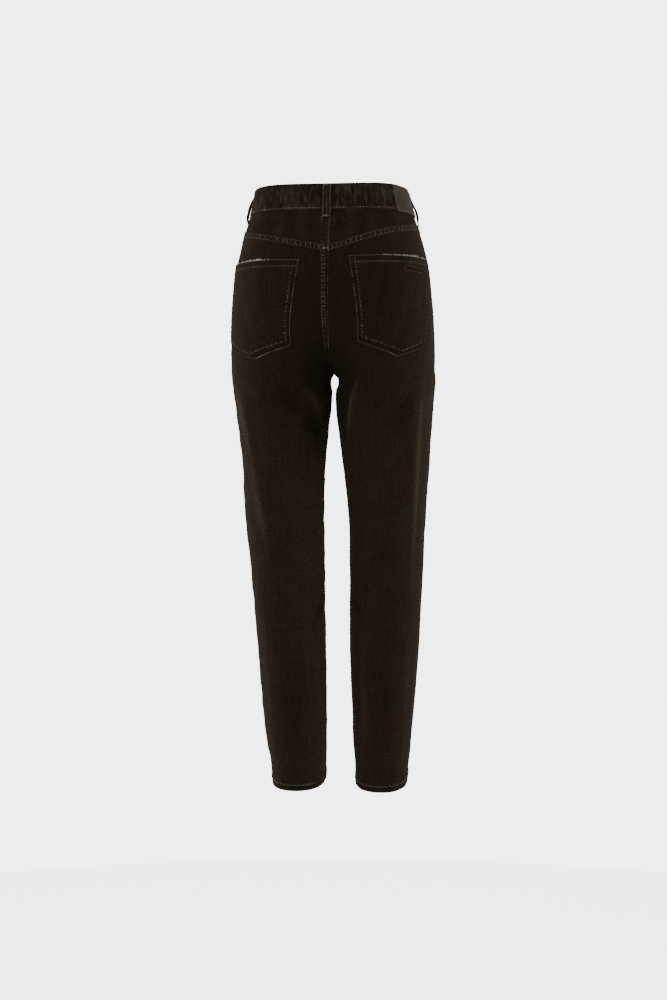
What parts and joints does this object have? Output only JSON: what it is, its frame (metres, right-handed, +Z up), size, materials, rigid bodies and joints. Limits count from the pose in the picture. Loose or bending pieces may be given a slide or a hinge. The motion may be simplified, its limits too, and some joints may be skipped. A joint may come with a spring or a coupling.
{
  "type": "mom jeans",
  "caption": "High-rise tapered ankle-length denim trousers, filled out and hollow as if worn, open at the waist and hems, with a yoke, patch pockets and belt loops.",
  "frame": {"origin": "middle of the waist opening, half way up the waistband", "axes": "+Z up along the legs towards the waist, front faces -Y, +X towards the wearer's left"},
  "size_m": [0.3244, 0.2274, 0.9511],
  "materials": {
    "denim": "washed brown-black cotton twill, matt",
    "waistband_denim": "washed brown-black cotton twill with paler puckers, matt",
    "patch": "matt taupe backing board with a leather grain, blank",
    "metal": "dark aged metal",
    "zip_tape": "black woven tape"
  },
  "bodies": {
    "root": {"back_left": "denim", "back_right": "denim", "front_left": "denim", "front_right": "denim", "yoke_left": "denim", "yoke_right": "denim", "back_pocket_left": "denim", "back_pocket_right": "denim", "pocket_facing_left": "denim", "pocket_facing_right": "denim", "fly_guard": "denim", "loop_centre_back": "denim", "loop_side_left": "denim", "loop_side_right": "denim", "loop_front_left": "denim", "loop_front_right": "denim", "waistband": "waistband_denim", "patch": "patch", "button": "metal", "zip": "zip_tape"}
  },
  "joints": []
}
